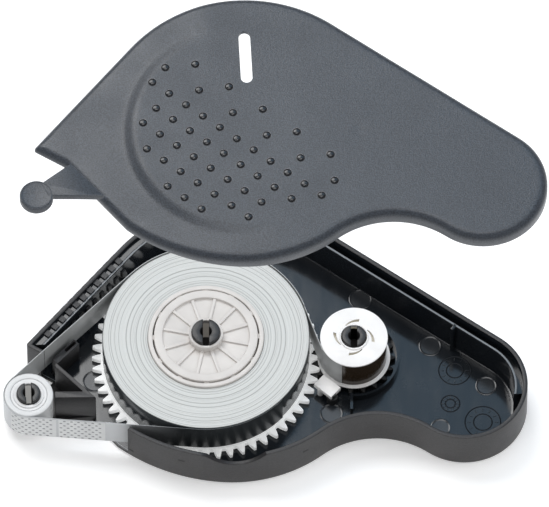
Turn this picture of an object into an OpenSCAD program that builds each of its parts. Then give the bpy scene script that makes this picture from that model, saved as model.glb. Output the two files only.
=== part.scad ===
// Hand-held dispenser for adhesive pads on a liner tape, opened for refilling.
// Origin: supply spool axis at the casing's underside. +X runs to the take-up
// spool and the handle, +Y to the straight back wall, +Z up through the cover.

/* [Casing outline] */
// Centre of the round body, from the supply axis
body_cx = 8.7; // [6:0.1:11]
body_cy = 2.9; // [1:0.1:5]
// Radius of the round body
body_r = 48.6; // [46:0.1:52]
// Centre of the handle's round end
handle_cx = 85.5; // [78:0.5:92]
handle_cy = -17.3; // [-22:0.1:-12]
// Radius of the handle's round end
handle_r = 20.9; // [17:0.1:24]
// Radius of the hollow that the fingers wrap round
waist_r = 29.3; // [24:0.1:36]
// Direction of the back edge of the beak
beak_back_angle = 139.9; // [136:0.1:142]
// Radius of the flatter front left side of the body
front_r = 64; // [58:0.5:70]

/* [Casing] */
// Height of the lower casing's rim
rim_z = 17.2; // [17.2:0.1:19]
// Thickness of the casing walls
wall_t = 1.5; // [1.2:0.1:2]
// Thickness of the casing floor
floor_t = 1.2; // [1:0.1:1.3]
// Depth of the seat for the cover, below the rim
seat_depth = 1.6; // [1:0.1:2.5]
// Width of the thick back rail, with the wall
rail_w = 4.4; // [3.5:0.1:5.5]
// Chord of the finger notch in the front wall
notch_w = 20; // [14:1:24]
// Depth of the finger notch
notch_depth = 4.4; // [3:0.1:6]

/* [Cover] */
// Height of the cover above the rim
cover_h = 5.9; // [5:0.1:8]
// Rounding of the cover's top edge
cover_round = 2.5; // [1.5:0.1:3]
// How far the opened cover is lifted
cover_lift = 129; // [100:1:135]
// Sideways drift of the cover over that lift
cover_drift = 4.4; // [0:0.1:6]
// Fall of the beak's top, per mm towards its tip
beak_fall = 0.045; // [0.02:0.005:0.06]
// Pitch of the grip pips
pip_pitch = 6.9; // [6.5:0.1:8]

/* [Drive] */
// Distance from the supply axis to the take-up axis
axis_gap = 49; // [48.5:0.1:50]
// Teeth on the supply gear
gear_teeth = 56; // [50:1:60]
// Teeth on the take-up pinion
pinion_teeth = 19; // [17:1:21]
// Clearance between meshing flanks
flank_clearance = 0.3; // [0.25:0.05:0.4]

/* [Tape] */
// Width of the liner tape
tape_w = 12.4; // [12:0.1:12.6]
// Outer radius of the supply roll
roll_r = 34.35; // [26:0.05:34.5]
// Thickness of the liner
liner_t = 0.25; // [0.15:0.05:0.3]
// Length of one adhesive pad
pad_len = 15.5; // [8:0.5:15.5]

/* [Front roller] */
// Place of the roller axis
roller_x = -58.5; // [-60:0.1:-57]
roller_y = -21.7; // [-23:0.1:-21]
// Radius of the roller over its sleeve
roller_r = 7.9; // [7:0.1:8.2]

/* [Hidden] */
$fn = 96;
eps = 0.01;

body_c = [body_cx, body_cy];
handle_c = [handle_cx, handle_cy];
roller_c = [roller_x, roller_y];
takeup_c = [axis_gap, 0];
cover_z = rim_z + cover_h;
lifted = [cover_drift, 0, cover_lift];

charcoal = [0.22, 0.23, 0.26];
near_black = [0.12, 0.13, 0.15];
white = [0.93, 0.93, 0.93];
pale = [0.8, 0.83, 0.83];

function ray(a, r = 1) = r * [cos(a), sin(a)];
// Angle at a between sides towards b and c, from the three side lengths
function corner_angle(ab, ac, bc) = acos((ab * ab + ac * ac - bc * bc) / (2 * ab * ac));

// ---- Outline of the casing -------------------------------------------------
span = norm(handle_c - body_c);
span_angle = direction(body_c, handle_c);
back_angle = span_angle + acos((body_r - handle_r) / span);
waist_angle = span_angle - corner_angle(body_r + waist_r, span, handle_r + waist_r);
waist_c = body_c + ray(waist_angle, body_r + waist_r);
// The flatter front side touches the round body at one angle and ends at another
front_from = 265;
front_to = 232;
front_c = body_c - ray(front_from, front_r - body_r);
front_end = front_c + ray(front_to, front_r);
// Corner of the beak, and where its front edge bends
beak_tip = body_c + ray(beak_back_angle, body_r) + ray(beak_back_angle + 90, 48.6);
beak_bend = [-49.5, -9];
// Directions that the two front edges of the beak face
beak_front_angle = facing(front_end, beak_bend);
beak_end_angle = facing(beak_bend, beak_tip);

// Direction from a to b, and the way that the edge from a to b faces
function direction(a, b) = atan2(b[1] - a[1], b[0] - a[0]);
function facing(a, b) = direction(a, b) + 90;

// A corner moved inwards by d from the two edges that face angles a and b
function inset_corner(p, a, b, d) = p - d * (ray(a) + ray(b)) / (1 + cos(a - b));

// Points along an arc, a few degrees apart
arc_step = 3;
function arc(c, r, from, to) =
    let (n = ceil(abs(to - from) / arc_step))
    [for (k = [0:n]) c + ray(from + (to - from) * k / n, r)];

// The outline, moved inwards by d: clockwise from the beak over the back
handle_waist_angle = direction(handle_c, waist_c);
module outline(d = 0) {
    polygon(concat(
        [inset_corner(beak_tip, beak_end_angle, beak_back_angle, d)],
        arc(body_c, body_r - d, beak_back_angle, back_angle),
        arc(handle_c, handle_r - d, back_angle, handle_waist_angle),
        arc(waist_c, waist_r + d, handle_waist_angle + 180, waist_angle + 180),
        arc(body_c, body_r - d, waist_angle, front_from - 360),
        arc(front_c, front_r - d, front_from - 360, front_to - 360 + arc_step / 2),
        [inset_corner(front_end, front_to, beak_front_angle, d)],
        [inset_corner(beak_bend, beak_front_angle, beak_end_angle, d)]
    ));
}

// Arm that carries the front roller: a front wall and a brace at 45 degrees, open towards the roller
arm_root = [-36.2, -22.2];
arm_left = roller_x + roller_r + 0.7;
arm_apex = [arm_left, arm_root[0] + arm_root[1] - arm_left];
arm_front_t = 2.5;
arm_brace_t = 1.4;
module arm_outline() polygon([arm_root, [arm_left, arm_root[1]], arm_apex]);
module arm_hollow() {
    edge = arm_root[0] + arm_root[1] - arm_brace_t * sqrt(2);
    left = arm_left - 1;
    front = arm_root[1] + arm_front_t;
    polygon([[edge - front, front], [left, front], [left, edge - left]]);
}

// ---- Casing ----------------------------------------------------------------
notch_r = (notch_w * notch_w / 4 + notch_depth * notch_depth) / (2 * notch_depth);
notch_x = 10;
// First end of the front wall, where the tape comes in
wall_start = front_c + ray(236, front_r);

// Ring-shaped mark that an ejector pin leaves
module ejector_mark(x, y, r) {
    translate([x, y, floor_t - 0.15])
        difference() {
            cylinder(r = r + 0.2, h = 1);
            translate([0, 0, -1]) cylinder(r = r - 0.2, h = 3);
        }
}

groove_depth = 4;
groove_wall = 0.9;
groove_start = 0;
module casing_walls() {
    difference() {
        linear_extrude(rim_z) outline();
        translate([0, 0, -eps]) linear_extrude(rim_z + 1) outline(wall_t);
    }
    // Thick rail along the straight back wall and round the handle, with a groove along its top
    intersection() {
        difference() {
            linear_extrude(rim_z - seat_depth) outline(wall_t / 2);
            translate([0, 0, -eps]) linear_extrude(rim_z + 1) outline(rail_w);
            translate([0, 0, rim_z - seat_depth - groove_depth]) linear_extrude(rim_z)
                intersection() {
                    difference() {
                        outline(wall_t);
                        outline(rail_w - groove_wall);
                    }
                    translate([groove_start, -100]) square(200);
                }
        }
        linear_extrude(rim_z)
            polygon([
                beak_tip + [-5, 5], [-20, 70], [70, 70], [120, 0], [120, handle_cy - 4],
                [handle_cx, handle_cy - 4], [60, 10], body_c + [10, 30], body_c + [-30, 15], beak_tip + [2, -8]
            ]);
    }
    // Rib that stiffens the rail
    translate([81.8, 3.5, floor_t]) rotate(back_angle) cube([2.4, 1.2, rim_z - seat_depth - floor_t]);
}

// The opening runs from the front wall's end to just behind the returning liner
module tape_outlet() {
    outlet_back = path_roll_r + liner_t + 1;
    translate([0, 0, floor_t])
        linear_extrude(rim_z)
            polygon([
                wall_start, wall_start + [12, 12],
                ray(back_dir, outlet_back) + ray(back_dir + 90, 30),
                ray(back_dir, outlet_back) + ray(back_dir + 90, 60),
                wall_start + [-30, -10]
            ]);
}

arm_h = rim_z - 1.2;
module arm_tower() {
    difference() {
        linear_extrude(arm_h) arm_outline();
        translate([0, 0, floor_t]) linear_extrude(rim_z) arm_hollow();
    }
    // Foot under the front roller
    translate([roller_x, roller_y, 0]) cylinder(r = 5.6, h = roller_foot_z);
    linear_extrude(roller_foot_z)
        polygon([roller_c + [0, -3.4], arm_root, arm_apex, roller_c + [0, 5]]);
    // Slotted block that guides the liner behind the arm
    difference() {
        translate([-49.2, -6.6, 0]) rotate(46) cube([10.5, 2.6, 11]);
        translate([-46.2, -2, 4]) rotate(46) cube([4.5, 1, 12]);
    }
}

floor_step = 0.7;
module lower_casing() color(near_black) {
    difference() {
        union() {
            // Floor, drawn in at its lower edge
            linear_extrude(floor_step) outline(0.5);
            translate([0, 0, floor_step]) linear_extrude(floor_t - floor_step) outline();
            difference() {
                casing_walls();
                tape_outlet();
                translate([0, 0, -1]) linear_extrude(floor_step + 1) square(400, center = true);
            }
            arm_tower();
        }
        // Finger notch in the front wall
        translate([notch_x, -60, rim_z + notch_r - notch_depth])
            rotate([-90, 0, 0]) cylinder(r = notch_r, h = 26);
        // Slots that the mould's side cores leave
        for (a = [252, 300])
            translate([body_cx, body_cy, 10.5]) rotate(a) translate([body_r, 0, 0])
                cube([8, 2.2, 1.2], center = true);
        // Marks left in the floor by the mould
        ejector_mark(74.4, 5.5, 3.8);
        ejector_mark(92.9, -9.6, 3.6);
        ejector_mark(51.3, 23.3, 3.9);
        ejector_mark(41.6, -20.1, 3.9);
        ejector_mark(77.7, -25.4, 3.4);
        ejector_mark(82.5, -3.8, 5.3);
        ejector_mark(91.7, -23.3, 5.9);
        ejector_mark(81, -16.3, 3.1);
        ejector_mark(-37, -8, 4);
    }
}

// Split post: a sleeve, sawn through along Y
post_bore_r = 1.9;
post_slot_w = 2;
module split_post(r, top, slot_z = 8.8) {
    difference() {
        translate([0, 0, floor_t]) cylinder(r = r, h = top - floor_t);
        translate([0, 0, 5]) cylinder(r = post_bore_r, h = top);
        translate([-post_slot_w / 2, -r - 1, slot_z]) cube([post_slot_w, 2 * r + 2, top]);
    }
}

supply_post_r = 4.7;
supply_post_top = 21.4;
takeup_post_r = 4;
takeup_post_top = 18.4;
roller_post_r = 3.9;
roller_post_top = 18.8;
module supply_post() color(near_black) split_post(supply_post_r, supply_post_top);
module takeup_post() color(near_black) translate(takeup_c) split_post(takeup_post_r, takeup_post_top);
roller_foot_z = 3.2;
module roller_post() color(near_black)
    translate(roller_c)
        intersection() {
            rotate(5) split_post(roller_post_r, roller_post_top, 4);
            translate([0, 0, roller_foot_z]) cylinder(r = 10, h = 40);
        }

// Wall round the outer side of the pinion, with a stop for the pawl
shroud_r = 14.3;
shroud_h = 3;
module pinion_shroud() color(near_black) {
    translate(takeup_c)
        translate([0, 0, floor_t])
            intersection() {
                difference() {
                    cylinder(r = shroud_r + 0.8, h = shroud_h);
                    translate([0, 0, -1]) cylinder(r = shroud_r, h = shroud_h + 2);
                }
                linear_extrude(shroud_h) polygon([[0, 0], ray(268, 30), [30, -30], [30, 30], ray(52, 30)]);
            }
    translate([axis_gap - 1.2, -20.4, floor_t]) cube([0.9, 6, shroud_h + 1]);
}

// Small blocks of the grip, along the beak's back wall
nub_count = 11;
nub_pitch = 3.6;
module grip_nubs() color(near_black)
    for (i = [0:nub_count - 1])
        translate([body_cx, body_cy, 0]) rotate(beak_back_angle)
            translate([body_r, 4 + nub_pitch * i, 0]) {
                translate([0, -1, 4]) cube([0.5, 2, rim_z - 5.5]);
                translate([-wall_t - 2.1, -1, rim_z - seat_depth]) cube([2.1, 2, 0.7]);
                translate([-rail_w - 0.6, -0.8, 8.6]) cube([0.6, 1.6, 3.2]);
            }

// ---- Cover -----------------------------------------------------------------
round_steps = 5;
beak_pivot_x = 10;
plateau_r = 39.6;
cover_wall = 1.4;
// Everything above the beak's falling top, outside the raised round plateau
module above_beak(drop) {
    difference() {
        translate([beak_pivot_x, -80, cover_z - drop]) rotate([0, atan(-beak_fall), 0])
            translate([-140, 0, 0]) cube([140, 160, 30]);
        translate([body_cx, body_cy, cover_z - drop - 5])
            cylinder(r1 = plateau_r + 5 - drop, r2 = plateau_r - 5 - drop, h = 10);
        translate([body_cx, -80, 0]) cube([200, 160, 60]);
    }
}

module cover_shell() {
    difference() {
        union() {
            translate([0, 0, rim_z]) linear_extrude(cover_h - cover_round) outline();
            for (i = [0:round_steps - 1])
                translate([0, 0, cover_z - cover_round * (1 - i / round_steps) - eps])
                    linear_extrude(cover_round / round_steps + eps)
                        outline(cover_round * (1 - sqrt(1 - pow((i + 0.5) / round_steps, 2))));
        }
        above_beak(0);
        difference() {
            union() {
                translate([0, 0, rim_z - 1]) linear_extrude(cover_h - cover_round + 1) outline(wall_t);
                translate([0, 0, rim_z]) linear_extrude(cover_h - cover_wall) outline(cover_round);
            }
            above_beak(cover_wall);
        }
    }
}

window_len = 19.2;
window_w = 3.8;
module cover_window() {
    translate([body_cx + 0.2, body_cy + 26.2, cover_z - 4]) rotate(3)
        linear_extrude(8) {
            square([window_w, window_len - window_w], center = true);
            for (s = [-1, 1]) translate([0, s * (window_len - window_w) / 2]) circle(d = window_w);
        }
}

module upper_cover() color(charcoal)
    translate(lifted)
        difference() {
            cover_shell();
            cover_window();
        }

// Arm and round knob that cap the front roller
guard_bottom = rim_z + 2;
guard_t = 2.8;
guard_r = 5.4;
module roller_guard() color(charcoal)
    translate(lifted + [0, 0, guard_bottom]) {
        translate([roller_x, roller_y, 0]) cylinder(r = guard_r, h = guard_t);
        linear_extrude(guard_t)
            difference() {
                polygon([
                    [-36.6, -21.9], beak_bend + [2, -0.8],
                    roller_c + [1.4, 4.4], roller_c + [3.8, -0.2]
                ]);
                outline();
            }
    }

// Rows of pips: [row, first column, last column, column step]
pip_rows = [
    [-2, 2, 4, 1], [-1, 0, 6, 1], [0, -1, 6, 1], [1, -1, 7, 1],
    [2, -2, 8, 1], [3, -2, 8, 2], [4, -1, 7, 2]
];
pip_r = 1.5;
pip_h = 0.6;
pip_turn = -37.5;
pip_origin = [-18.7, 0.3];
module cover_pips() color(charcoal)
    translate(lifted)
        for (row = pip_rows)
            for (i = [row[1]:row[3]:row[2]])
                translate(concat(pip_origin, [cover_z])) rotate(pip_turn)
                    translate([i * pip_pitch, row[0] * pip_pitch, 0])
                        rotate_extrude($fn = 24) polygon([[0, 0], [pip_r, 0], [1.2, 0.35], [0.6, pip_h], [0, pip_h]]);

// Tongues that line the cover up inside the front walls
tongue_len = 1.5;
tongue_t = 0.8;
module tongue(c, r, a) {
    translate([c[0], c[1], rim_z - tongue_len])
        intersection() {
            difference() {
                cylinder(r = r - wall_t - 0.15, h = cover_h - cover_round + tongue_len);
                translate([0, 0, -1]) cylinder(r = r - wall_t - 0.15 - tongue_t, h = 10);
            }
            rotate(a) translate([r - 10, -3, 0]) cube([12, 6, 10]);
        }
}
module locating_tongues() color(charcoal)
    translate(lifted) {
        tongue(body_c, body_r, 298);
        tongue(handle_c, handle_r, 262);
    }

// ---- Drive -----------------------------------------------------------------
gear_module = 2 * axis_gap / (gear_teeth + pinion_teeth);
pressure_angle = 20;
gear_z = floor_t + 0.3;
gear_top = 3.5;

// Polar point of an involute from base radius rb, at radius r
function roll_angle(rb, r) = sqrt(max(0, pow(r / rb, 2) - 1)) * 180 / PI;
function involute_angle(rb, r) = roll_angle(rb, r) - atan(roll_angle(rb, r) * PI / 180);

// Tooth outline as an angle either side of its centre, at radius r
function half_tooth(n, r, slack) =
    let (rp = n * gear_module / 2, rb = rp * cos(pressure_angle))
    90 / n - slack / (2 * rp) * 180 / PI + involute_angle(rb, rp) - involute_angle(rb, max(r, rb));

module gear_outline(n, turn) {
    rp = n * gear_module / 2;
    root = rp - 1.2 * gear_module;
    tip = rp + gear_module;
    flank_steps = 4;
    radii = [for (k = [0:flank_steps]) root + (tip - root) * k / flank_steps];
    polygon([
        for (i = [0:n - 1])
            let (centre = turn + 360 * i / n)
            each concat(
                [for (r = radii) ray(centre - half_tooth(n, r, flank_clearance), r)],
                [for (k = [flank_steps:-1:0]) ray(centre + half_tooth(n, radii[k], flank_clearance), radii[k])]
            )
    ]);
}

// The gear shows a tooth to the pinion's gap on the line of centres
hub_ring_in = 14.4;
hub_ring_out = 17.2;
hub_top = 18.4;
web_top = 17.3;
collar_top = 20.2;
spoke_count = 12;
spin_fit = 0.08;
module drive_gear() color(white)
    difference() {
        union() {
            difference() {
                union() {
                    translate([0, 0, gear_z]) linear_extrude(gear_top - gear_z) gear_outline(gear_teeth, 0);
                    // Flange that the roll stands on
                    translate([0, 0, gear_top - eps]) cylinder(r = 33.6, h = tape_z - gear_top - 0.1);
                    translate([0, 0, gear_z]) cylinder(r = hub_ring_out, h = hub_top - gear_z);
                }
                // The drum is open below its web, and the web lies below the drum's rim
                cylinder(r = hub_ring_in + 1.6, h = web_top - 1.4);
                translate([0, 0, web_top]) cylinder(r = hub_ring_in, h = 5);
            }
            for (i = [0:spoke_count - 1])
                rotate(i * 360 / spoke_count + 18.5)
                    translate([4.8, -0.5, web_top - eps]) cube([hub_ring_in - 4.5, 1, hub_top - web_top - 0.5]);
            translate([0, 0, gear_z]) cylinder(r = 5.7, h = collar_top - gear_z);
        }
        cylinder(r = supply_post_r + spin_fit, h = 40);
    }

tape_z = 4.8;
core_in = 17.7;
core_out = 19.2;
core_rise = 0.8;
clip_count = 12;
module tape_core() color(white)
    translate([0, 0, tape_z]) linear_extrude(tape_w + core_rise)
        difference() {
            circle(core_out);
            // Bore, with the keys that hold the core on the hub standing in it
            difference() {
                circle(core_in);
                for (i = [0:clip_count - 1])
                    rotate(i * 360 / clip_count + 1)
                        translate([hub_ring_out, -0.9]) square([core_in - hub_ring_out + 0.2, 1.8]);
            }
        }

module tape_roll() color(pale)
    difference() {
        translate([0, 0, tape_z]) cylinder(r = roll_r, h = tape_w, $fn = 180);
        cylinder(r = core_out, h = 40);
    }

sleeve_r = 4.9;
sleeve_top = 15.5;
flange_r = 12.1;
flange_z = 3.7;
flange_t = 0.5;
spool_top = 17.3;
washer_r = 7.4;
washer_t = 0.7;
// Turns the pinion so that a gap meets the supply gear's tooth
pinion_turn = 180 + 180 / pinion_teeth;
module takeup_pinion() color(near_black)
    translate(takeup_c)
        difference() {
            union() {
                translate([0, 0, gear_z]) linear_extrude(gear_top - gear_z) gear_outline(pinion_teeth, pinion_turn);
                translate([0, 0, gear_z]) cylinder(r = sleeve_r, h = sleeve_top - gear_z);
            }
            cylinder(r = takeup_post_r + spin_fit, h = 40);
            // Seat of the clutch washer
            translate([0, 0, flange_z - washer_t])
                difference() {
                    cylinder(r = washer_r, h = 2);
                    translate([0, 0, -1]) cylinder(r = sleeve_r, h = 4);
                }
        }

// Felt washer of the slip clutch, under the spool
module clutch_washer() color(charcoal)
    translate([axis_gap, 0, flange_z - washer_t])
        difference() {
            cylinder(r = washer_r, h = washer_t);
            translate([0, 0, -1]) cylinder(r = sleeve_r, h = 3);
        }

barrel_r = 8;
spool_disc_r = 11.2;
spool_disc_t = 0.6;
spool_collar_r = 4.9;
// Slot that winds inwards round a snap finger, from one angle on, at r narrowing from out to in
finger_out = 6.6;
finger_in = 5.2;
finger_sweep = 47;
module finger_slot(a) {
    steps = 6;
    edge = function (s) [for (k = [0:steps])
        ray(a + finger_sweep * k / steps, finger_out + (finger_in - finger_out) * k / steps + s * (0.5 - 0.06 * k))];
    polygon(concat(edge(1), reversed(edge(-1))));
}
module takeup_spool() color("white")
    translate(takeup_c)
        difference() {
            union() {
                translate([0, 0, flange_z + eps]) cylinder(r = flange_r, h = flange_t);
                translate([0, 0, flange_z + eps]) cylinder(r = barrel_r, h = spool_top - flange_z - 0.3);
                translate([0, 0, spool_top - spool_disc_t]) cylinder(r = spool_disc_r, h = spool_disc_t);
                translate([0, 0, spool_top - 1]) cylinder(r = spool_collar_r, h = 1.5);
            }
            cylinder(r = sleeve_r + spin_fit, h = sleeve_top + 0.3);
            cylinder(r = takeup_post_r + 0.3, h = 40);
            for (a = [75:90:345])
                translate([0, 0, spool_top - 2]) linear_extrude(4) finger_slot(a);
        }

liner_r = 10.9;
wound_z = flange_z + flange_t + 0.05;
wound_w = spool_top - spool_disc_t - 0.05 - wound_z;
module wound_liner() color([0.45, 0.38, 0.32])
    translate([axis_gap, 0, wound_z])
        difference() {
            cylinder(r = liner_r, h = wound_w);
            translate([0, 0, -1]) cylinder(r = barrel_r, h = 20);
        }

// ---- Pawl ------------------------------------------------------------------
// Lever on its own pin, over the gears; its nose stops just clear of the gear's tips
pawl_c = [40.2, -12.4];
pawl_pin_c = [41.8, -15.2];
pawl_turn = -41;
pawl_size = [7.6, 5, 1.9];
pawl_nose_c = [37.9, -12.7];
pawl_z = 4.5;
module reverse_pawl() color("white")
    difference() {
        union() {
            translate([pawl_c[0], pawl_c[1], pawl_z + pawl_size[2] / 2]) rotate(pawl_turn)
                cube(pawl_size, center = true);
            translate([pawl_nose_c[0], pawl_nose_c[1], gear_z]) cylinder(r = 1, h = pawl_z + 1 - gear_z);
        }
        translate([pawl_pin_c[0], pawl_pin_c[1], 0]) cylinder(r = pawl_pin_r + spin_fit, h = 20);
    }

pawl_pin_r = 1.2;
module pawl_pin() color(near_black)
    translate([pawl_pin_c[0], pawl_pin_c[1], floor_t]) {
        cylinder(r = 1.8, h = pawl_z - 0.1 - floor_t);
        cylinder(r = pawl_pin_r, h = pawl_z + pawl_size[2] - 0.2 - floor_t);
    }

// ---- Front roller ----------------------------------------------------------
roller_top = 17.5;
roller_bottom = roller_foot_z + 0.3;
roller_core_r = 6;
module front_roller() color(white)
    translate([roller_x, roller_y, roller_bottom])
        difference() {
            cylinder(r = roller_core_r, h = roller_top - roller_bottom);
            translate([0, 0, -1]) cylinder(r = roller_post_r + spin_fit, h = 40);
        }
module roller_sleeve() color([0.9, 0.9, 0.92])
    translate([roller_x, roller_y, roller_bottom])
        difference() {
            cylinder(r = roller_r, h = roller_top - 0.3 - roller_bottom);
            translate([0, 0, -1]) cylinder(r = roller_core_r, h = 40);
        }

// ---- Tape path -------------------------------------------------------------
tape_gap = 0.3;
path_roll_r = roll_r + tape_gap;
path_roller_r = roller_r + tape_gap;
line_angle = direction(roller_c, [0, 0]);
line_turn = asin((path_roll_r - path_roller_r) / norm(roller_c));
// Directions from both axes to the tangent points, on the front and back sides
front_dir = line_angle - line_turn - 90;
back_dir = line_angle + line_turn + 90;
// Where the pads have left the liner, on the roller's nose
peel_dir = front_dir + 290;
crossing_angle = acos((path_roll_r + liner_r + tape_gap) / axis_gap);

// Band between a path and the same path moved out by t
function reversed(v) = [for (k = [len(v) - 1:-1:0]) v[k]];
module band(inner, outer) polygon(concat(inner, reversed(outer)));

function feed_path(t) = concat(
    arc(roller_c, path_roller_r + t, peel_dir - 360, front_dir),
    [ray(front_dir, path_roll_r + t)]
);
module feed_tape() color(pale)
    translate([0, 0, tape_z]) linear_extrude(tape_w) band(feed_path(0), feed_path(liner_t));

// Point on the tape's face, at a distance along it from where it leaves the roller, and t out from it
face_r = path_roller_r + liner_t;
function face_point(along, t) =
    along < 0
        ? roller_c + ray(front_dir + along / face_r * 180 / PI, face_r + t)
        : roller_c + ray(front_dir, face_r + t) + ray(front_dir + 90, along);
pad_height = 12;
pad_gap = 0.8;
pad_t = 0.12;
glue_line = 0.04;
first_pad = -5.7;
module adhesive_pads() color([0.85, 0.86, 0.86])
    translate([0, 0, tape_z + (tape_w - pad_height) / 2])
        linear_extrude(pad_height)
            for (start = [first_pad, first_pad + pad_len + pad_gap])
                band(pad_path(start, glue_line), pad_path(start, glue_line + pad_t));
function pad_path(start, t) = concat(
    [for (along = [start:1:-0.5]) face_point(along, t)],
    [face_point(max(start, 0), t), face_point(start + pad_len, t)]
);

function return_path(t) = concat(
    arc([0, 0], path_roll_r + t, crossing_angle, back_dir),
    arc(roller_c, path_roller_r + t, back_dir, peel_dir)
);
module return_liner() color([0.72, 0.73, 0.73])
    translate([0, 0, tape_z]) linear_extrude(tape_w) band(return_path(0), return_path(liner_t));

module crossing_liner() color([0.72, 0.73, 0.73])
    translate([0, 0, wound_z])
        linear_extrude(wound_w)
            polygon([
                ray(crossing_angle, path_roll_r + eps),
                ray(crossing_angle, path_roll_r + liner_t),
                takeup_c - ray(crossing_angle, liner_r + tape_gap),
                takeup_c - ray(crossing_angle, liner_r + tape_gap + liner_t)
            ]);

lower_casing();
supply_post();
takeup_post();
roller_post();
pinion_shroud();
grip_nubs();
upper_cover();
roller_guard();
cover_pips();
locating_tongues();
drive_gear();
tape_core();
tape_roll();
takeup_pinion();
clutch_washer();
takeup_spool();
wound_liner();
reverse_pawl();
pawl_pin();
front_roller();
roller_sleeve();
feed_tape();
adhesive_pads();
return_liner();
crossing_liner();
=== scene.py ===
"""Looks of the hand-held adhesive pad dispenser, opened for refilling.

Shapes are worked out in millimetres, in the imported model's own frame, and become metres in Shape.done().
"""
import math

import bmesh
import bpy
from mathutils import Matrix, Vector
from mathutils.geometry import delaunay_2d_cdt, tessellate_polygon


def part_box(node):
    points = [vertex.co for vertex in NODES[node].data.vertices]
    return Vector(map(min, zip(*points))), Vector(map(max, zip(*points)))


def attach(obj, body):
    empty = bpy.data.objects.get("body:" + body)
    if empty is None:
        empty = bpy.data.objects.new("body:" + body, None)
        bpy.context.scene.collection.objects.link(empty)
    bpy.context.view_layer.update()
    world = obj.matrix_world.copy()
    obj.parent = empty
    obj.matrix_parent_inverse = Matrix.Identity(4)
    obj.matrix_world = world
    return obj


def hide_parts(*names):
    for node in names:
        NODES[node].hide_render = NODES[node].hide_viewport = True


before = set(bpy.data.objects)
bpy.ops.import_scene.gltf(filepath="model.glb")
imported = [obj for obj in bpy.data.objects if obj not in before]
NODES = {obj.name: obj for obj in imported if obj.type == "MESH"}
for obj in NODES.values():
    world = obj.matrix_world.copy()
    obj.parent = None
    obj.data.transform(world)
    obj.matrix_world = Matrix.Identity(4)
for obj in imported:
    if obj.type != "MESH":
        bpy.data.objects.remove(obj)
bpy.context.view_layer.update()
MM = 0.001

# ---------------------------------------------------------------- driving sizes, as in the CAD model (mm)
BODY_C, BODY_R = Vector((8.7, 2.9)), 48.6
HANDLE_C, HANDLE_R = Vector((85.5, -17.3)), 20.9
WAIST_R = 29.3
FRONT_R, FRONT_FROM, FRONT_TO = 64.0, 265.0, 232.0
BEAK_BACK = 139.9
BEAK_BEND = Vector((-49.5, -9.0))
RIM_Z, WALL, FLOOR, SEAT, RAIL = 17.2, 1.5, 1.2, 1.6, 4.4
GROOVE, GROOVE_WALL = 4.0, 0.9
COVER_H, COVER_ROUND, COVER_WALL = 5.9, 2.5, 1.4
LIFT = Vector((4.4, 0, 129.0))
SUPPLY_C, TAKEUP_C = Vector((0.0, 0.0)), Vector((49.0, 0.0))
ROLLER_C, ROLLER_R = Vector((-58.5, -21.7)), 7.9
ROLL_R, LINER = 34.35, 0.25
GEAR_TEETH, PINION_TEETH, GEAR_TOP = 56, 19, 3.5
GEAR_MODULE = 2 * TAKEUP_C.x / (GEAR_TEETH + PINION_TEETH)
SUPPLY_POST_R, TAKEUP_POST_R, ROLLER_POST_R = 4.7, 4.0, 3.9
WOUND_R, WOUND_TAPE_R = 10.9, 11.2


def corner_of(node, high):
    """A corner of a CAD node's box, in millimetres."""
    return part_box(node)[1 if high else 0] / MM


# ---------------------------------------------------------------- plane geometry
def ray(angle, r=1.0):
    a = math.radians(angle)
    return Vector((r * math.cos(a), r * math.sin(a)))


def direction(a, b):
    return math.degrees(math.atan2(b.y - a.y, b.x - a.x))


def arc(centre, r, start, end, step=2.0):
    count = max(1, math.ceil(abs(end - start) / step))
    return [centre + ray(start + (end - start) * k / count, r) for k in range(count + 1)]


def edge(a, b, count):
    return [a.lerp(b, k / count) for k in range(count + 1)]


def inset_corner(p, a, b, d):
    """The corner p of two edges that face angles a and b, moved inwards by d."""
    return p - d * (ray(a) + ray(b)) / (1 + math.cos(math.radians(a - b)))


def area(loop):
    return sum(p.x * q.y - q.x * p.y for p, q in zip(loop, loop[1:] + loop[:1])) / 2


def offset(loop, d):
    """A closed loop moved by d to its left."""
    out = []
    for i, p in enumerate(loop):
        a, b = (p - loop[i - 1]).normalized(), (loop[(i + 1) % len(loop)] - p).normalized()
        n = Vector((-a.y - b.y, a.x + b.x))
        out.append(p + n * d / max(0.4, 1 + a.dot(b)))
    return out


def fillet(points, r, steps=3):
    """A closed outline with every corner rounded off over a length r."""
    out = []
    for i, p in enumerate(points):
        before, after = points[i - 1] - p, points[(i + 1) % len(points)] - p
        reach_a, reach_b = min(r, 0.45 * before.length), min(r, 0.45 * after.length)
        a, b = p + before.normalized() * reach_a, p + after.normalized() * reach_b
        out += [(1 - t) ** 2 * a + 2 * t * (1 - t) * p + t * t * b for t in (k / steps for k in range(steps + 1))]
    return out


def circle(centre, r, count=64):
    return [Vector(centre) + ray(360 * k / count, r) for k in range(count)]


def smoothstep(t):
    t = min(1.0, max(0.0, t))
    return t * t * (3 - 2 * t)


# ---------------------------------------------------------------- the casing's outline
SPAN_ANGLE = direction(BODY_C, HANDLE_C)
SPAN = (HANDLE_C - BODY_C).length
BACK_ANGLE = SPAN_ANGLE + math.degrees(math.acos((BODY_R - HANDLE_R) / SPAN))
_a, _b = BODY_R + WAIST_R, HANDLE_R + WAIST_R
WAIST_ANGLE = SPAN_ANGLE - math.degrees(math.acos((_a * _a + SPAN * SPAN - _b * _b) / (2 * _a * SPAN)))
WAIST_C = BODY_C + ray(WAIST_ANGLE, _a)
HANDLE_WAIST = direction(HANDLE_C, WAIST_C)
FRONT_C = BODY_C - ray(FRONT_FROM, FRONT_R - BODY_R)
FRONT_END = FRONT_C + ray(FRONT_TO, FRONT_R)
BEAK_TIP = BODY_C + ray(BEAK_BACK, BODY_R) + ray(BEAK_BACK + 90, 48.6)
BEAK_FRONT = direction(FRONT_END, BEAK_BEND) + 90
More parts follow.
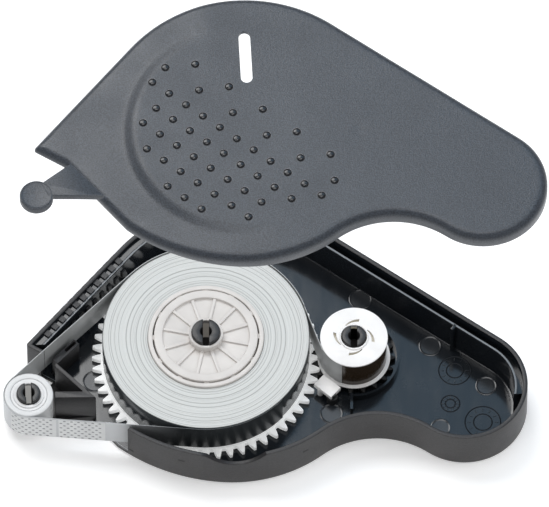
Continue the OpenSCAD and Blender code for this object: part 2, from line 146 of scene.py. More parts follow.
BEAK_END = direction(BEAK_BEND, BEAK_TIP) + 90
WALL_START = 236.0
RAIL_END = -11.0
TIP_ROUND = 1.0
BEND_ROUND = 8.0
END_WALL = 4.7


def spans(d):
    """The outline moved inwards by d, clockwise from the beak's corner, as named stretches of points."""
    tip_r = max(TIP_ROUND - d, 0.0)
    tip_c = inset_corner(BEAK_TIP, BEAK_END, BEAK_BACK, max(TIP_ROUND, d))
    tip = arc(tip_c, tip_r, BEAK_END, BEAK_BACK, 16)
    body_back = arc(BODY_C, BODY_R - d, BEAK_BACK, BACK_ANGLE)
    handle_back = arc(HANDLE_C, HANDLE_R - d, BACK_ANGLE, RAIL_END, 4)
    bend_c = inset_corner(BEAK_BEND, BEAK_FRONT, BEAK_END, -BEND_ROUND)
    bend = [bend_c - ray(BEAK_FRONT + (BEAK_END - BEAK_FRONT) * k / 6, BEND_ROUND + d) for k in range(7)]
    front_end = inset_corner(FRONT_END, FRONT_TO, BEAK_FRONT, d)
    outlet_end = tip[0] + (bend[-1] - tip[0]).normalized() * END_WALL
    return {
        "tip": tip,
        "beak_back": edge(tip[-1], body_back[0], 24),
        "body_back": body_back,
        "back": edge(body_back[-1], handle_back[0], 36),
        "handle_back": handle_back,
        "handle_front": arc(HANDLE_C, HANDLE_R - d, RAIL_END, HANDLE_WAIST, 4),
        "waist": arc(WAIST_C, WAIST_R + d, HANDLE_WAIST + 180, WAIST_ANGLE + 180, 3),
        "body_front": arc(BODY_C, BODY_R - d, WAIST_ANGLE, FRONT_FROM - 360, 1),
        "front": arc(FRONT_C, FRONT_R - d, FRONT_FROM - 360, WALL_START - 360),
        "outlet": arc(FRONT_C, FRONT_R - d, WALL_START - 360, FRONT_TO - 359) + edge(front_end, bend[0], 8)
        + bend + edge(bend[-1], outlet_end, 3),
        "beak_end": edge(outlet_end, tip[0], 3),
    }


def outline(d):
    return [p for stretch in spans(d).values() for p in stretch]


# ---------------------------------------------------------------- building meshes
def lift_light(piece):
    """Keeps the lifted cover from shading the base or showing in its gloss."""
    piece.visible_shadow = False
    piece.visible_diffuse = False
    piece.visible_glossy = False


class Shape:
    """Points in millimetres and faces, gathered before they become one mesh."""

    def __init__(self):
        self.points, self.faces, self.slots = [], [], []

    def add(self, points, faces, slot=0):
        base = len(self.points)
        self.points += [tuple(p) for p in points]
        self.faces += [tuple(base + i for i in f) for f in faces]
        self.slots += [slot] * len(faces)

    def loft(self, rings, slot=0, round_again=False, caps=True):
        """Joins rings of equal length; round_again joins the last ring to the first."""
        n = len(rings[0])
        pairs = len(rings) if round_again else len(rings) - 1
        faces = []
        for i in range(pairs):
            a, b = i * n, (i + 1) % len(rings) * n
            faces += [(a + k, a + (k + 1) % n, b + (k + 1) % n, b + k) for k in range(n)]
        if caps and not round_again:
            faces += [tuple(range(n))[::-1], tuple((len(rings) - 1) * n + k for k in range(n))]
        self.add([p for ring in rings for p in ring], faces, slot)

    def lathe(self, profile, centre=(0, 0), steps=96, slot=0):
        """A ring whose section is the closed profile of (radius, height) points."""
        rings = [[(centre[0] + p[0] * math.cos(2 * math.pi * k / steps),
                   centre[1] + p[0] * math.sin(2 * math.pi * k / steps), p[1]) for k in range(steps)]
                 for p in profile]
        self.loft(rings, slot, round_again=True)

    def extrude(self, loops, z0, z1, bevel=0.15, slot=0):
        """An outline and its holes, raised from z0 to z1 with rounded edges."""
        loops = [loop if (area(loop) > 0) == (i == 0) else loop[::-1] for i, loop in enumerate(loops)]
        rows = [(bevel, z0), (0, z0 + bevel), (0, z1 - bevel), (0.3 * bevel, z1 - 0.3 * bevel), (bevel, z1)]
        for loop in loops:
            self.loft([[(*p, z) for p in offset(loop, d)] for d, z in rows], slot, caps=False)
        flat = [[Vector((*p, 0)) for p in offset(loop, bevel)] for loop in loops]
        triangles = tessellate_polygon(flat)
        points = [p for loop in flat for p in loop]
        self.add([(p.x, p.y, z0) for p in points], triangles, slot)
        self.add([(p.x, p.y, z1) for p in points], triangles, slot)

    def box(self, centre, size, turn=0.0, bevel=0.15, slot=0):
        """A block with rounded edges, turned about the vertical."""
        half = Vector(size) / 2
        corners = [Vector((sx * half.x, sy * half.y)) for sx, sy in ((-1, -1), (1, -1), (1, 1), (-1, 1))]
        turned = [Vector(centre[:2]) + Vector((c.x * ray(turn).x - c.y * ray(turn).y,
                                               c.x * ray(turn).y + c.y * ray(turn).x)) for c in corners]
        self.extrude([fillet(turned, bevel)], centre[2] - half.z, centre[2] + half.z, bevel, slot)

    def done(self, name, body, materials, stands_for=(), finish=None, sharp=38):
        """Makes the object, in metres, riding on a body and standing for CAD nodes."""
        mesh = bpy.data.meshes.new(name)
        mesh.from_pydata([(x * MM, y * MM, z * MM) for x, y, z in self.points], [], self.faces)
        mesh.polygons.foreach_set("material_index", self.slots)
        work = bmesh.new()
        work.from_mesh(mesh)
        bmesh.ops.remove_doubles(work, verts=work.verts, dist=2e-6)
        bmesh.ops.dissolve_degenerate(work, edges=work.edges, dist=1e-7)
        bmesh.ops.recalc_face_normals(work, faces=work.faces)
        work.to_mesh(mesh)
        work.free()
        mesh.shade_smooth()
        mesh.set_sharp_from_angle(angle=math.radians(sharp))
        for m in materials:
            mesh.materials.append(m)
        piece = bpy.data.objects.new(name, mesh)
        bpy.context.collection.objects.link(piece)
        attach(piece, body)
        if stands_for:
            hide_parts(*stands_for)
        if body == "cover":
            lift_light(piece)
        return piece


# ---------------------------------------------------------------- materials
def srgb(r, g, b):
    """A colour given as a screen shows it, 0 to 255, made linear."""
    return tuple((c / 255 / 12.92 if c <= 10 else ((c / 255 + 0.055) / 1.055) ** 2.4) for c in (r, g, b)) + (1,)


class Finish:
    """A Principled material with small helpers for its procedural detail."""

    def __init__(self, name, color, roughness):
        self.mat = bpy.data.materials.new(name)
        self.mat.use_nodes = True
        self.tree = self.mat.node_tree
        self.shader = self.tree.nodes["Principled BSDF"]
        self.shader.inputs["Base Color"].default_value = color
        self.shader.inputs["Roughness"].default_value = roughness
        self.place = self.tree.nodes.new("ShaderNodeTexCoord").outputs["Object"]
        self.normal = None

    def node(self, kind, **values):
        n = self.tree.nodes.new(kind)
        for key, value in values.items():
            setattr(n, key, value)
        return n

    def link(self, a, b):
        self.tree.links.new(a, b)

    def noise(self, scale, detail=2.0, stretch=(1, 1, 1)):
        mapping = self.node("ShaderNodeMapping")
        mapping.inputs["Scale"].default_value = stretch
        self.link(self.place, mapping.inputs["Vector"])
        n = self.node("ShaderNodeTexNoise")
        n.inputs["Scale"].default_value = scale
        n.inputs["Detail"].default_value = detail
        self.link(mapping.outputs["Vector"], n.inputs["Vector"])
        return n.outputs["Fac"]

    def radius_noise(self, scale, detail=3.0):
        """Noise that depends only on the distance from the supply axis."""
        flat = self.node("ShaderNodeVectorMath", operation="MULTIPLY")
        flat.inputs[1].default_value = (1, 1, 0)
        self.link(self.place, flat.inputs[0])
        length = self.node("ShaderNodeVectorMath", operation="LENGTH")
        self.link(flat.outputs[0], length.inputs[0])
        n = self.node("ShaderNodeTexNoise", noise_dimensions="1D")
        n.inputs["Scale"].default_value = scale
        n.inputs["Detail"].default_value = detail
        self.link(length.outputs["Value"], n.inputs["W"])
        return n.outputs["Fac"]

    def remap(self, value, low, high, to_low, to_high):
        r = self.node("ShaderNodeMapRange")
        for i, v in enumerate((low, high, to_low, to_high)):
            r.inputs[i + 1].default_value = v
        self.link(value, r.inputs[0])
        return r.outputs[0]

    def tint(self, value, dark, light, low=0.3, high=0.7):
        """Colour between two shades by a noise value."""
        mix = self.node("ShaderNodeMix", data_type="RGBA")
        mix.inputs["A"].default_value = dark
        mix.inputs["B"].default_value = light
        self.link(self.remap(value, low, high, 0, 1), mix.inputs["Factor"])
        self.link(mix.outputs["Result"], self.shader.inputs["Base Color"])
        return self

    def vary(self, value, low_rough, high_rough):
        self.link(self.remap(value, 0.3, 0.7, low_rough, high_rough), self.shader.inputs["Roughness"])
        return self

    def bump(self, value, depth, strength=1.0):
        b = self.node("ShaderNodeBump")
        b.inputs["Distance"].default_value = depth
        b.inputs["Strength"].default_value = strength
        self.link(value, b.inputs["Height"])
        if self.normal:
            self.link(self.normal, b.inputs["Normal"])
        self.normal = b.outputs["Normal"]
        self.link(self.normal, self.shader.inputs["Normal"])
        return self


def shade(color, k):
    return tuple(min(1.0, c * k) for c in color[:3]) + (1,)


def grained_plastic(name, color, roughness, grain=2300, depth=0.00006):
    """Spark-eroded moulding: a fine even grain, cloudy gloss and faint scuffs."""
    f = Finish(name, color, roughness)
    speck = f.noise(grain, 1.5)
    f.tint(speck, shade(color, 0.7), shade(color, 1.5), 0.35, 0.65)
    f.vary(f.noise(60, 4), roughness - 0.05, roughness + 0.06)
    f.bump(speck, depth).bump(f.noise(grain / 3, 2), depth * 0.5)
    return f.mat


def polished_plastic(name, color, roughness):
    """Smooth moulding: a slight waviness, handling marks and dust."""
    f = Finish(name, color, roughness)
    f.tint(f.noise(90, 5), shade(color, 0.85), shade(color, 1.25))
    f.vary(f.noise(300, 3, (1, 0.25, 1)), roughness - 0.03, roughness + 0.03)
    f.bump(f.noise(25, 2), 0.0004, 0.15).bump(f.noise(1500, 2), 0.000001)
    return f.mat


def white_plastic(name, color, roughness=0.42, painted_glow=0.0):
    """White moulding with a faint yellowing, fine drag marks and optional painted light: emission in its own colour.
    """
    f = Finish(name, color, roughness)
    # Painted light: the moulding emits its own colour, though it is no lamp
    f.shader.inputs["Emission Color"].default_value = color
    f.shader.inputs["Emission Strength"].default_value = painted_glow
    f.tint(f.noise(120, 4), shade(color, 0.93), shade(color, 1.04))
    f.vary(f.noise(500, 3), roughness - 0.06, roughness + 0.08)
    f.bump(f.noise(900, 3), 0.00002)
    return f.mat


def painted_glow_bore(name, painted_glow):
    """The inside of a white bore: its white greyed as painted shade, with emitted painted light on its wall."""
    f = Finish(name, (0.5, 0.48, 0.44, 1), 0.5)
    f.bump(f.noise(700, 2), 0.00002)
    f.shader.inputs["Emission Color"].default_value = painted_glow
    f.shader.inputs["Emission Strength"].default_value = 0.6
    return f.mat


def wound_edge(name, color):
    """The edges of many turns of liner: fine rings of slightly different height and shade."""
    f = Finish(name, color, 0.5)
    rings = f.radius_noise(2100, 6)
    f.tint(rings, shade(color, 0.6), shade(color, 1.04), 0.34, 0.48)
    f.bump(rings, 0.00012, 0.9).bump(f.radius_noise(400, 2), 0.0004, 0.5)
    return f.mat


def satin_liner(name, color, roughness=0.32, along=(1, 1, 0.05)):
    """Siliconed paper: smooth, with faint cross marks and a satin sheen."""
    f = Finish(name, color, roughness)
    f.tint(f.noise(260, 4, along), shade(color, 0.92), shade(color, 1.05))
    f.bump(f.noise(120, 2, along), 0.0003, 0.2).bump(f.noise(3000, 1), 0.00001)
    return f.mat


def shaded_liner(name, free, painted_shade, start, end):
    """Liner that is pale where it runs free and turns grey along X towards the roll, as painted shade."""
    f = Finish(name, free, 0.3)
    split = f.node("ShaderNodeSeparateXYZ")
    f.link(f.place, split.inputs[0])
    # Painted shade: pale to grey along X
    f.tint(split.outputs["X"], free, painted_shade, start, end)
    f.bump(f.noise(120, 2, (1, 1, 0.05)), 0.0003, 0.2).bump(f.noise(3000, 1), 0.00001)
    return f.mat


# Near-black, for the pinion and, as painted shade, for the wall slots
DARK = polished_plastic("near_black_and_slot_shade", (0.002, 0.002, 0.0022, 1), 0.6)
COVER = grained_plastic("cover_grain", (0.036, 0.042, 0.052, 1), 0.38)
CASING = grained_plastic("casing_grain", (0.015, 0.014, 0.015, 1), 0.42, 1800, 0.00004)
MARK = polished_plastic("mould_mark", (0.016, 0.019, 0.023, 1), 0.2)
# The ledge's lip: light grey, a painted highlight along its edge
PAINTED_LIP_HIGHLIGHT = polished_plastic("painted_lip_highlight", srgb(112, 116, 120), 0.3)
# The pips: the cover's plastic made darker, painted shade in place of their own shadows
PIP = grained_plastic("pip", (0.009, 0.010, 0.012, 1), 0.2, 1200, 0.00001)
INSIDE = polished_plastic("casing_inside", (0.010, 0.0125, 0.016, 1), 0.13)
POST = polished_plastic("post", (0.02, 0.02, 0.021, 1), 0.4)
# The gear's white emits light: painted light that lifts its shaded teeth
GEAR_WHITE = white_plastic("gear_white", srgb(244, 245, 245), painted_glow=0.3)
HUB_WHITE = white_plastic("hub_white", srgb(216, 212, 208))
SPOOL_WHITE = white_plastic("spool_white", srgb(248, 247, 246), 0.5)
ROLLER_WHITE = white_plastic("roller_white", srgb(222, 222, 222), 0.35)
SLEEVE_WHITE = white_plastic("sleeve_white", srgb(212, 213, 213), 0.3)
ROLL_EDGE = wound_edge("roll_edge", srgb(207, 209, 207))
# The roll's side: the liner's colour darkened, painted shade from the casing wall round it
ROLL_SIDE = satin_liner("roll_side", srgb(66, 70, 72), 0.2, (0.05, 0.05, 3))
# The feed liner goes grey along X where it meets the roll: painted shade
FEED_LINER = shaded_liner("feed_liner", srgb(188, 190, 192), srgb(56, 60, 62), -0.031, -0.008)
WOUND = satin_liner("wound_side", srgb(60, 48, 36), 0.2, (0.05, 0.05, 3))
LINER_SATIN = satin_liner("liner_satin", srgb(190, 192, 192))
# Bore surfaces: greyed white as painted shade, each emitting its own strength of painted light
HUB_BORE = painted_glow_bore("hub_bore", (0.16, 0.15, 0.135, 1))
SPOOL_BORE = painted_glow_bore("spool_bore", (0.24, 0.22, 0.16, 1))
ROLLER_BORE = painted_glow_bore("roller_bore", (0.42, 0.42, 0.41, 1))
PAD_NET = satin_liner("pad_net", srgb(214, 215, 215), 0.6)
PAD_HOLE = satin_liner("pad_hole", srgb(122, 124, 127), 0.4)
FELT = grained_plastic("felt", (0.05, 0.05, 0.055, 1), 0.9, 3000, 0.0002)


# ---------------------------------------------------------------- the cover
COVER_TOP = RIM_Z + COVER_H
FALL_DIR, FALL_FROM, BEAK_FALL = 196.0, 1.2, 0.045
PLATEAU_IN, PLATEAU_OUT = 35.0, 40.0
WINDOW_C = BODY_C + Vector((0.2, 26.2))
WINDOW_LEN, WINDOW_W, WINDOW_TURN = 19.2, 3.8, 93.0
SINK = Vector((45.6, 2.5))


def cover_height(p):
    """Height of the cover's top: a round plateau, and a beak that falls away round it."""
    out = p - BODY_C
    fall = BEAK_FALL * max(0.0, out.dot(ray(FALL_DIR)) - FALL_FROM)
    step = smoothstep((out.length - PLATEAU_IN) / (PLATEAU_OUT - PLATEAU_IN))
    sink = 0.09 * math.exp(-((p - SINK).length / 1.6) ** 2)
    return COVER_TOP - fall * step - sink


def slot_outline(centre, length, width, turn, count=10):
    """A straight slot with round ends."""
    half = ray(turn, (length - width) / 2)
    return (arc(centre + half, width / 2, turn - 90, turn + 90, 180 / count)
            + arc(centre - half, width / 2, turn + 90, turn + 270, 180 / count))


def inside(p, loop):
    hit = False
    for a, b in zip(loop, loop[1:] + loop[:1]):
        if (a.y > p.y) != (b.y > p.y) and p.x < (b.x - a.x) * (p.y - a.y) / (b.y - a.y) + a.x:
            hit = not hit
    return hit


def distinct(loop, gap=0.02):
    """A closed loop without repeated points."""
    out = []
    for p in loop:
        if not out or (p - out[-1]).length > gap:
            out.append(p)
    while (out[0] - out[-1]).length < gap:
        out.pop()
    return out


def sheet_inside(boundary, hole, spacing):
    """Triangles that fill a boundary round a hole, with an even grid and rings where the top bends."""
    points = list(boundary) + list(hole)
    n, m = len(boundary), len(hole)
    edges = [(k, (k + 1) % n) for k in range(n)] + [(n + k, n + (k + 1) % m) for k in range(m)]
    margin = offset(boundary if area(boundary) > 0 else boundary[::-1], spacing * 0.6)
    clear = offset(hole if area(hole) > 0 else hole[::-1], -spacing * 0.5)
    wanted = []
    for k in range(9):
        r = PLATEAU_IN + (PLATEAU_OUT - PLATEAU_IN) * k / 8
        wanted += arc(BODY_C, r, 95, 298, 1.6)
    low, high = Vector((-62, -48)), Vector((108, 54))
    rows = int((high.y - low.y) / spacing)
    for j in range(rows):
        for i in range(int((high.x - low.x) / spacing)):
            p = Vector((low.x + (i + 0.5 * (j % 2)) * spacing, low.y + j * spacing))
            gap = (p - BODY_C).length
            if not PLATEAU_IN - 0.6 < gap < PLATEAU_OUT + 0.6 or (p - BODY_C).dot(ray(FALL_DIR)) < 0:
                wanted.append(p)
    points += [p for p in wanted if inside(p, margin) and not inside(p, clear)]
    out, _, faces, *_ = delaunay_2d_cdt(points, edges, [], 1, 1e-5)
    middle = lambda f: sum((out[i] for i in f), Vector((0, 0))) / len(f)
    return out, [f for f in faces if inside(middle(f), boundary) and not inside(middle(f), hole)]


def make_cover():
    s = Shape()
    hole = slot_outline(WINDOW_C, WINDOW_LEN, WINDOW_W, WINDOW_TURN)
    lip = 0.35
    bottom = RIM_Z + 0.03

    def ring(d, z_of):
        return [(p.x, p.y, z_of(p)) for p in outline(d)]

    rows = [
        ring(COVER_ROUND, lambda p: cover_height(p) - COVER_WALL),
        ring(WALL + 0.3, lambda p: cover_height(p) - COVER_WALL - 0.25),
        ring(WALL, lambda p: cover_height(p) - COVER_WALL - 0.9),
        ring(WALL, lambda p: bottom + lip),
        ring(WALL - lip, lambda p: bottom),
        ring(lip, lambda p: bottom),
        ring(0.1, lambda p: bottom + 0.12),
        ring(0, lambda p: bottom + lip),
        ring(0, lambda p: cover_height(p) - COVER_ROUND),
    ]
    for k in range(1, 9):
        a = math.radians(90 * k / 8)
        rows.append(ring(COVER_ROUND * (1 - math.cos(a)),
                         lambda p, a=a: cover_height(p) - COVER_ROUND * (1 - math.sin(a))))
    s.loft(rows, caps=False)
    boundary = distinct(outline(COVER_ROUND))
    points, faces = sheet_inside(boundary, hole, 1.1)
    s.add([(p.x, p.y, cover_height(p)) for p in points], faces)
    s.add([(p.x, p.y, cover_height(p) - COVER_WALL) for p in points], faces)
    z = cover_height(WINDOW_C)
    s.loft([[(*p, z - t) for p in hole] for t in (0, COVER_WALL)], caps=False)
    s.points = [(x + LIFT.x, y + LIFT.y, h + LIFT.z) for x, y, h in s.points]
    return s.done("cover_shell", "cover", [COVER], ["upper_cover"], "cover")


PIP_ROWS = [(-2, 2, 4, 1), (-1, 0, 6, 1), (0, -1, 6, 1), (1, -1, 7, 1), (2, -2, 8, 1), (3, -2, 8, 2), (4, -1, 7, 2)]
PIP_PITCH, PIP_TURN, PIP_ORIGIN = 6.9, -37.5, Vector((-18.7, 0.3))
PIP_R, PIP_H = 1.45, 0.6


def make_pips():
    """Round grip pips in rows: domes with a steep foot."""
    s = Shape()
    profile = [(0, -0.3), (PIP_R, -0.3), (PIP_R, 0.0)]
    profile += [(PIP_R * math.cos(math.radians(a)) ** 0.8, PIP_H * math.sin(math.radians(a)))
                for a in range(15, 91, 15)]
    for row, first, last, step in PIP_ROWS:
        for i in range(first, last + 1, step):
            p = PIP_ORIGIN + ray(PIP_TURN, i * PIP_PITCH) + ray(PIP_TURN + 90, row * PIP_PITCH)
            z = cover_height(p) + LIFT.z
            s.lathe([(r, z + h) for r, h in profile], (p.x + LIFT.x, p.y), 24)
    # The darker pip material is painted shade
    return s.done("cover_pip_domes", "cover", [PIP], ["cover_pips"], "cover_pip", sharp=60)


def make_guard():
    """Arm with a round, slightly dished knob over the front roller."""
    s = Shape()
    low, high = corner_of("roller_guard", False), corner_of("roller_guard", True)
    z0, z1 = low.z, high.z
    centre = ROLLER_C + LIFT.xy
    r = 5.4
    rise = [(r * k / 8, z1 - 0.35 * (1 - (k / 8) ** 2)) for k in range(8)]
    s.lathe([(0, z0), (r - 0.2, z0), (r, z0 + 0.2), (r, z1 - 0.45), (r - 0.15, z1 - 0.12), (r - 0.5, z1)]
            + rise[::-1], centre, 72)
    root = [Vector((-36.6, -21.9)), BEAK_BEND + Vector((2, -0.8))]
    tips = [ROLLER_C + Vector((1.4, 4.4)), ROLLER_C + Vector((3.8, -0.2))]
    s.extrude([fillet([p + LIFT.xy for p in root + tips], 0.4)], z0, z1 - 0.05, 0.4)
    return s.done("guard_arm", "cover", [COVER], ["roller_guard"], "guard")


# ---------------------------------------------------------------- the lower casing
NOTCH_X, NOTCH_W, NOTCH_DEPTH = 10.0, 20.0, 4.4
NOTCH_R = (NOTCH_W ** 2 / 4 + NOTCH_DEPTH ** 2) / (2 * NOTCH_DEPTH)


def rim_height(p):
    """The front wall's rim dips in an arc for a fingertip."""
    reach = abs(p.x - NOTCH_X)
    if p.y > -30 or reach >= NOTCH_R:
        return RIM_Z
    return min(RIM_Z, RIM_Z + NOTCH_R - NOTCH_DEPTH - math.sqrt(NOTCH_R ** 2 - reach ** 2))


def wall_section(name, x, h):
    """Section of the casing at one place of its outline, as (inset, height) from the underside to the floor."""
    foot = [(0.9, 0.0), (0.4, 0.1), (0.1, 0.45), (0.0, 1.0)]
    if name == "outlet":
        edge_round = [(0.0, 1.02), (0.08, 1.15), (0.25, FLOOR)]
        return foot + edge_round + [(0.3 + 0.1 * k, FLOOR) for k in range(12)] + [(2.0, FLOOR)]
    railed = name in ("tip", "beak_back", "body_back", "back", "handle_back")
    grooved = name in ("back", "handle_back") or name == "body_back" and x > 0
    inner = RAIL if railed else WALL
    ledge = RIM_Z - SEAT if railed else h - 0.5
    low = ledge - GROOVE if grooved else ledge
    lip = inner - GROOVE_WALL if railed else WALL
    rim = [(0.0, h - 0.3), (0.08, h - 0.08), (0.3, h), (WALL - 0.3, h), (WALL - 0.08, h - 0.08), (WALL, h - 0.3)]
    rail = [(WALL, low), (lip, low), (lip, ledge - 0.2)]
    rail += [(lip + 0.2, ledge), (inner - 0.2, ledge)] if railed else [(WALL, ledge), (WALL, ledge)]
    down = [(inner, ledge - 0.2), (inner, FLOOR + 0.5), (inner + 0.12, FLOOR + 0.15), (inner + 0.5, FLOOR)]
    return foot + rim + rail + down + [(inner + 0.9, FLOOR)]


def make_casing():
    s = Shape()
    names = [name for name, stretch in spans(0).items() for _ in stretch]
    base = outline(0)
    sections = [wall_section(n, p.x, rim_height(p)) for n, p in zip(names, base)]
    inset_rows = {}

    def at(d, k):
        key = round(d, 4)
        if key not in inset_rows:
            inset_rows[key] = outline(d)
        return inset_rows[key][k]

    rings = [[(*at(section[row][0], k), section[row][1]) for k, section in enumerate(sections)]
             for row in range(len(sections[0]))]
    outer_rows = 10
    s.loft(rings[:outer_rows], 0, caps=False)
    lip_row = outer_rows + 2
    s.loft(rings[outer_rows - 1:lip_row + 1], 1, caps=False)
    # These rows take the light grey: a painted highlight along the ledge
    s.loft(rings[lip_row:lip_row + 3], 2, caps=False)
    s.loft(rings[lip_row + 2:], 1, caps=False)
    n = len(base)
    s.add(rings[0], [tuple(range(n))], 0)
    s.add(rings[-1], [tuple(range(n))], 1)
    # Rib on the rail of the straight back wall
    rib = Vector((81.8, 3.5)) + ray(BACK_ANGLE, 1.2) + ray(BACK_ANGLE + 90, 0.6)
    s.box((rib.x, rib.y, (RIM_Z - SEAT + FLOOR) / 2), (2.4, 1.2, RIM_Z - SEAT - FLOOR), BACK_ANGLE, 0.2, 1)
    return s.done("casing_shell", "casing", [CASING, INSIDE, PAINTED_LIP_HIGHLIGHT], ["lower_casing"], "casing")


ARM_ROOT = Vector((-36.2, -22.2))
ARM_LEFT = ROLLER_C.x + ROLLER_R + 0.7
ARM_H = RIM_Z - 1.2
FOOT_Z, BRACE_T = 3.2, 1.4


def guide_block(corner, half_len, half_w, turn=46):
    """A rectangle that stands turned on one of its corners."""
    along, across = ray(turn), ray(turn + 90)
    middle = Vector(corner) + along * half_len + across * half_w
    return [middle + along * sx * half_len + across * sy * half_w
            for sx, sy in ((-1, -1), (1, -1), (1, 1), (-1, 1))]


def make_arm():
    """Arm that carries the front roller: a thick front wall, a brace, a foot and the liner's guide block."""
    s = Shape()
    apex = Vector((ARM_LEFT, ARM_ROOT.x + ARM_ROOT.y - ARM_LEFT))
    brace = BRACE_T * math.sqrt(2)
    front = ARM_ROOT.y + 2.5
    inner_line = ARM_ROOT.x + ARM_ROOT.y - brace
    loop = [ARM_ROOT, apex, apex + Vector((0, -brace)), Vector((inner_line - front, front)),
            Vector((ARM_LEFT, front)), Vector((ARM_LEFT, ARM_ROOT.y))]
    s.extrude([fillet(loop, 0.25)], FLOOR - 0.4, ARM_H, 0.2)
    foot = [ROLLER_C + Vector((0, -3.4)), ARM_ROOT, apex, ROLLER_C + Vector((0, 5))]
    s.extrude([fillet(foot, 0.5)], 0.02, FOOT_Z, 0.3)
    s.extrude([circle(ROLLER_C, 5.6)], 0.02, FOOT_Z, 0.3)
    block, hole = guide_block((-49.2, -6.6), 5.25, 1.3), guide_block((-46.2, -2), 2.25, 0.5)
    s.extrude([fillet(block, 0.3), fillet(hole, 0.15)], FLOOR - 0.3, 11, 0.2)
    return s.done("roller_arm", "casing", [CASING], finish="casing")


EJECTOR_MARKS = [(74.4, 5.5, 3.8), (92.9, -9.6, 3.6), (51.3, 23.3, 3.9), (41.6, -20.1, 3.9), (77.7, -25.4, 3.4),
                 (-37, -8, 4)]
CLOCK_MARKS = [(82.5, -3.8, 5.3), (91.7, -23.3, 5.9), (81, -16.3, 3.1)]
SIDE_CORES = [(FRONT_C, FRONT_R, 253.6, 11.0), (FRONT_C, FRONT_R, 237.0, 4.2), (BODY_C, BODY_R, 300, 10.5)]


def make_floor_marks():
    """Discs that ejector pins leave in the tray's floor, and plain ringed dials with ticks."""
    s = Shape()
    sunk = FLOOR - 0.02
    for x, y, r in EJECTOR_MARKS:
        disc = [(0, sunk), (r, sunk), (r, FLOOR + 0.1), (r - 0.3, FLOOR + 0.16), (r - 0.7, FLOOR + 0.06),
                (0, FLOOR + 0.05)]
        s.lathe(disc, (x, y), 48)
    for x, y, r in CLOCK_MARKS:
        for ring_r in (r, r * 0.52):
            s.lathe([(ring_r - 0.25, sunk), (ring_r + 0.25, sunk), (ring_r, FLOOR + 0.16)], (x, y), 48)
        for k in range(12):
            tick = Vector((x, y)) + ray(30 * k, r * 0.78)
            s.box((tick.x, tick.y, FLOOR + 0.05), (1.1, 0.35, 0.16), 30 * k, 0.08)
    return s.done("floor_marks", "casing", [MARK], finish="casing", sharp=8)


def make_wall_slots():
    """Near-black blocks on the front walls: painted shade standing in for the small slots that the mould's side cores
    leave.
    """
    s = Shape()
    for centre, r, a, z in SIDE_CORES:
        p = centre + ray(a, r - 0.34)
        s.box((p.x, p.y, z), (0.7, 2.2, 1.1), a, 0.1)
    return s.done("wall_slot_shade", "casing", [DARK], finish="casing")


def make_post(name, node, centre, r, split_z=8.8, turn=0):
    """A post split by a slot, with a rounded top and a bore down its middle."""
    s = Shape()
    low, high = corner_of(node, False), corner_of(node, True)
    bore, half_slot = 1.9, 1.0
    a0, a1 = math.degrees(math.asin(half_slot / bore)), math.degrees(math.asin(half_slot / r))
    for side in (turn, turn + 180):
        outer = arc(Vector((0, 0)), r, side - 90 + a1, side + 90 - a1, 6)
        inner = arc(Vector((0, 0)), bore, side + 90 - a0, side - 90 + a0, 10)
        half = [Vector(centre) + p for p in outer + inner]
        s.extrude([half], split_z, high.z, 0.25)
    s.lathe([(0, low.z), (r, low.z), (r, split_z), (0, split_z)], centre, 64)
    return s.done(name, "casing", [POST], [node], "post", sharp=50)


# ---------------------------------------------------------------- gears
def roll_angle(rb, r):
    return math.degrees(math.sqrt(max(0.0, (r / rb) ** 2 - 1)))


def involute_angle(rb, r):
    roll = roll_angle(rb, r)
    return roll - math.degrees(math.atan(math.radians(roll)))


def gear_outline(teeth, turn, centre, slack=0.3):
    """Involute teeth with a 20 degree pressure angle."""
    rp = teeth * GEAR_MODULE / 2
    rb = rp * math.cos(math.radians(20))
    root, tip = rp - 1.2 * GEAR_MODULE, rp + GEAR_MODULE
    steps = 5
    radii = [root + (tip - root) * k / steps for k in range(steps + 1)]

    def half_tooth(r):
        return (90 / teeth - math.degrees(slack / (2 * rp))
                + involute_angle(rb, rp) - involute_angle(rb, max(r, rb)))

    out = []
    for i in range(teeth):
        middle = turn + 360 * i / teeth
        out += [Vector(centre) + ray(middle - half_tooth(r), r) for r in radii]
        out += [Vector(centre) + ray(middle + half_tooth(r), r) for r in radii[::-1]]
    return out


def make_drive_gear():
    s = Shape()
    low, high = corner_of("drive_gear", False), corner_of("drive_gear", True)
    z0, rim_top, web_top, spokes = low.z, 18.4, 17.3, 12
    bore, ring_in, ring_out, collar = 4.78, 14.4, 17.2, 5.7
    s.extrude([gear_outline(GEAR_TEETH, 0, SUPPLY_C), circle(SUPPLY_C, 16, 72)], z0, GEAR_TOP, 0.22)
    flange = [(16.5, 3.3), (33.6, 3.3), (33.6, 4.7), (16.5, 4.7)]
    s.lathe(fillet([Vector(p) for p in flange], 0.12), SUPPLY_C, 120)
    drum = [(16, z0), (ring_out, z0), (ring_out, rim_top), (ring_in, rim_top), (ring_in - 0.1, web_top),
            (collar - 0.3, web_top), (collar - 0.3, web_top - 1.4), (16, web_top - 1.4)]
    s.lathe(fillet([Vector(p) for p in drum], 0.3), SUPPLY_C, 120, 1)
    sleeve = [(bore, high.z - 2), (bore, high.z - 0.2), (bore + 0.2, high.z), (collar - 0.25, high.z),
              (collar, high.z - 0.25), (collar, z0), (bore, z0)]
    s.lathe(sleeve, SUPPLY_C, 72, 1)
    # A thin layer inside the bore that carries the painted light and shade
    painted_glow_lining = [(bore, z0 + 1), (bore + 0.1, z0 + 1), (bore + 0.1, high.z - 2), (bore - 0.01, high.z - 2)]
    s.lathe(painted_glow_lining, SUPPLY_C, 72, 2)
    for k in range(spokes):
        a = 360 / spokes * k + 18.5
        mid = ray(a, 9.9)
        s.box((mid.x, mid.y, web_top + 0.25), (9.6, 1.1, 0.9), a, 0.25, 1)
    return s.done("gear_and_hub", "supply", [GEAR_WHITE, HUB_WHITE, HUB_BORE], ["drive_gear"], "gear_white")


